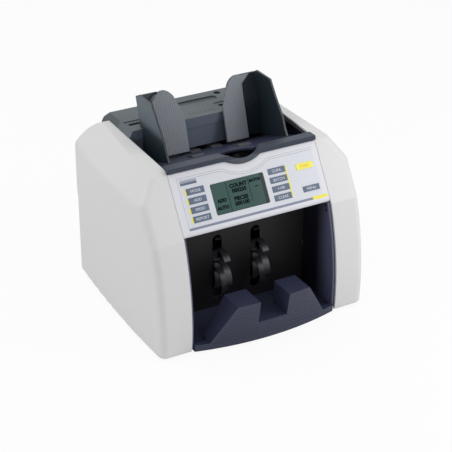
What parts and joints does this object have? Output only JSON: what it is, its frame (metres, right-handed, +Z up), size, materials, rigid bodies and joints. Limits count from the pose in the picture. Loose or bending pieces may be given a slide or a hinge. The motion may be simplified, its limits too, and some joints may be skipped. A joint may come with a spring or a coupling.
{
  "type": "banknote counting machine",
  "caption": "Desktop banknote counting machine: top hopper with sliding note guides, roller feed, stacking wheels in a front pocket, sloping key panel with display.",
  "frame": {"origin": "centre of the overall footprint, on the surface the rubber feet stand on", "axes": "+X to the user's right, +Y to the rear, +Z up"},
  "size_m": [0.265, 0.254, 0.2515],
  "materials": {
    "white_plastic": "satin",
    "panel_plastic": "satin",
    "dark_plastic": "satin",
    "cover_plastic": "matte",
    "guide_plastic": "matte",
    "frame_paint": "matte",
    "gear_plastic": "satin",
    "foot_rubber": "matte",
    "roller_rubber": "matte",
    "wheel_plastic": "satin",
    "belt_rubber": "matte",
    "steel": "brushed",
    "screw_steel": "polished",
    "bush_bronze": "satin",
    "black_plastic": "satin",
    "lcd_glass": "gloss",
    "key_grey": "satin",
    "key_yellow": "satin",
    "circuit_board": "satin"
  },
  "bodies": {
    "machine": {"base_tray": "frame_paint", "rubber_feet": "foot_rubber", "left_side_cover": "white_plastic", "right_side_cover": "white_plastic", "left_side_frame": "frame_paint", "right_side_frame": "frame_paint", "cross_bars": "steel", "screws": "screw_steel", "stack_sensors": "black_plastic", "shaft_bushes": "bush_bronze", "retard_shaft": "steel", "retard_rollers": "roller_rubber", "drive_belts": "belt_rubber", "main_motor": "steel", "control_panel": "panel_plastic", "display_window": "lcd_glass", "display_module": "black_plastic", "keypad_board": "circuit_board", "front_ledge": "dark_plastic", "hopper_floor": "dark_plastic", "top_cover": "cover_plastic", "guide_carrier": "steel", "note_chute": "dark_plastic", "pocket_back": "dark_plastic", "stacker_tray": "dark_plastic", "rear_panel": "cover_plastic", "mains_inlet": "black_plastic", "switch_housing": "black_plastic", "service_socket": "black_plastic", "main_board": "circuit_board", "power_supply": "circuit_board"},
    "transport": {"transport_shaft": "steel", "transport_rollers": "roller_rubber"},
    "pickup": {"pickup_shaft": "steel", "pickup_rollers": "roller_rubber"},
    "feed": {"feed_shaft": "steel", "feed_rollers": "roller_rubber"},
    "pinch": {"pinch_shaft": "steel", "pinch_rollers": "roller_rubber"},
    "stacker": {"stacker_shaft": "steel", "stacker_wheels": "wheel_plastic"},
    "motor_rotor": {"motor_shaft": "steel"},
    "left_note_guide": {"left_guide": "guide_plastic", "left_guide_rack": "gear_plastic"},
    "right_note_guide": {"right_guide": "guide_plastic", "right_guide_rack": "gear_plastic"},
    "pinion": {"guide_pinion": "gear_plastic"},
    "gap_adjuster": {"gap_knob": "black_plastic"},
    "access_door": {"rear_door": "cover_plastic"},
    "rocker": {"power_rocker": "black_plastic"},
    "key_left_1": {"left_key_1": "key_grey"},
    "key_left_2": {"left_key_2": "key_grey"},
    "key_left_3": {"left_key_3": "key_grey"},
    "key_left_4": {"left_key_4": "key_grey"},
    "key_right_1": {"right_key_1": "key_grey"},
    "key_right_2": {"right_key_2": "key_grey"},
    "key_right_3": {"right_key_3": "key_grey"},
    "key_right_4": {"right_key_4": "key_grey"},
    "key_start": {"start_key": "key_yellow"},
    "key_menu": {"menu_key": "key_grey"}
  },
  "joints": [
    {"name": "transport_spin", "type": "hinge", "parent": "machine", "child": "transport", "pos_m": [0, 0.025, 0.11], "axis": [1, 0, 0], "continuous": true},
    {"name": "pickup_spin", "type": "hinge", "parent": "machine", "child": "pickup", "pos_m": [0, -0.004, 0.1746], "axis": [1, 0, 0], "continuous": true},
    {"name": "feed_spin", "type": "hinge", "parent": "machine", "child": "feed", "pos_m": [0, 0.033, 0.1595], "axis": [1, 0, 0], "continuous": true},
    {"name": "pinch_spin", "type": "hinge", "parent": "machine", "child": "pinch", "pos_m": [0, 0.0675, 0.11], "axis": [1, 0, 0], "continuous": true},
    {"name": "stacker_spin", "type": "hinge", "parent": "machine", "child": "stacker", "pos_m": [0, -0.03, 0.06124], "axis": [1, 0, 0], "continuous": true},
    {"name": "motor_spin", "type": "hinge", "parent": "machine", "child": "motor_rotor", "pos_m": [0, 0.095, 0.042], "axis": [1, 0, 0], "continuous": true},
    {"name": "left_guide_slide", "type": "slide", "parent": "machine", "child": "left_note_guide", "axis": [-1, 0, 0], "range_m": [-0.019, 0.0125]},
    {"name": "right_guide_slide", "type": "slide", "parent": "machine", "child": "right_note_guide", "axis": [1, 0, 0], "range_m": [-0.0191, 0.0126]},
    {"name": "pinion_turn", "type": "hinge", "parent": "machine", "child": "pinion", "pos_m": [0, 0.0595, 0.2015], "axis": [0, 0, 1], "range_deg": [-73, 110]},
    {"name": "gap_knob_turn", "type": "hinge", "parent": "machine", "child": "gap_adjuster", "pos_m": [0.047, 0.0925, 0.205], "axis": [0, 0, 1], "range_deg": [-360, 360]},
    {"name": "rear_door_hinge", "type": "hinge", "parent": "machine", "child": "access_door", "pos_m": [0, 0.1247, 0.1097], "axis": [-1, 0, 0], "range_deg": [0, 85]},
    {"name": "power_rocker_tilt", "type": "hinge", "parent": "machine", "child": "rocker", "pos_m": [0.022, 0.1225, 0.03], "axis": [1, 0, 0], "range_deg": [-16, 0]},
    {"name": "left_key_1_press", "type": "slide", "parent": "machine", "child": "key_left_1", "axis": [0, 0.8495, -0.5276], "range_m": [0, 0.0006], "stiffness_N_per_m": 1500},
    {"name": "left_key_2_press", "type": "slide", "parent": "machine", "child": "key_left_2", "axis": [0, 0.8495, -0.5276], "range_m": [0, 0.0006], "stiffness_N_per_m": 1500},
    {"name": "left_key_3_press", "type": "slide", "parent": "machine", "child": "key_left_3", "axis": [0, 0.8495, -0.5276], "range_m": [0, 0.0006], "stiffness_N_per_m": 1500},
    {"name": "left_key_4_press", "type": "slide", "parent": "machine", "child": "key_left_4", "axis": [0, 0.8495, -0.5276], "range_m": [0, 0.0006], "stiffness_N_per_m": 1500},
    {"name": "right_key_1_press", "type": "slide", "parent": "machine", "child": "key_right_1", "axis": [0, 0.8495, -0.5276], "range_m": [0, 0.0006], "stiffness_N_per_m": 1500},
    {"name": "right_key_2_press", "type": "slide", "parent": "machine", "child": "key_right_2", "axis": [0, 0.8495, -0.5276], "range_m": [0, 0.0006], "stiffness_N_per_m": 1500},
    {"name": "right_key_3_press", "type": "slide", "parent": "machine", "child": "key_right_3", "axis": [0, 0.8495, -0.5276], "range_m": [0, 0.0006], "stiffness_N_per_m": 1500},
    {"name": "right_key_4_press", "type": "slide", "parent": "machine", "child": "key_right_4", "axis": [0, 0.8495, -0.5276], "range_m": [0, 0.0006], "stiffness_N_per_m": 1500},
    {"name": "start_key_press", "type": "slide", "parent": "machine", "child": "key_start", "axis": [0, 0.8495, -0.5276], "range_m": [0, 0.0006], "stiffness_N_per_m": 1500},
    {"name": "menu_key_press", "type": "slide", "parent": "machine", "child": "key_menu", "axis": [0, 0.8495, -0.5276], "range_m": [0, 0.0006], "stiffness_N_per_m": 1500}
  ],
  "couplings": [
    {"joint": "pickup_spin", "follows": "transport_spin", "ratio": 1.3333},
    {"joint": "feed_spin", "follows": "transport_spin", "ratio": 1.2},
    {"joint": "pinch_spin", "follows": "transport_spin", "ratio": -3.5556},
    {"joint": "stacker_spin", "follows": "transport_spin", "ratio": -0.75},
    {"joint": "motor_spin", "follows": "transport_spin", "ratio": 2},
    {"joint": "right_guide_slide", "follows": "left_guide_slide", "ratio": 1},
    {"joint": "pinion_turn", "follows": "left_guide_slide", "rad_per_m": -100}
  ]
}
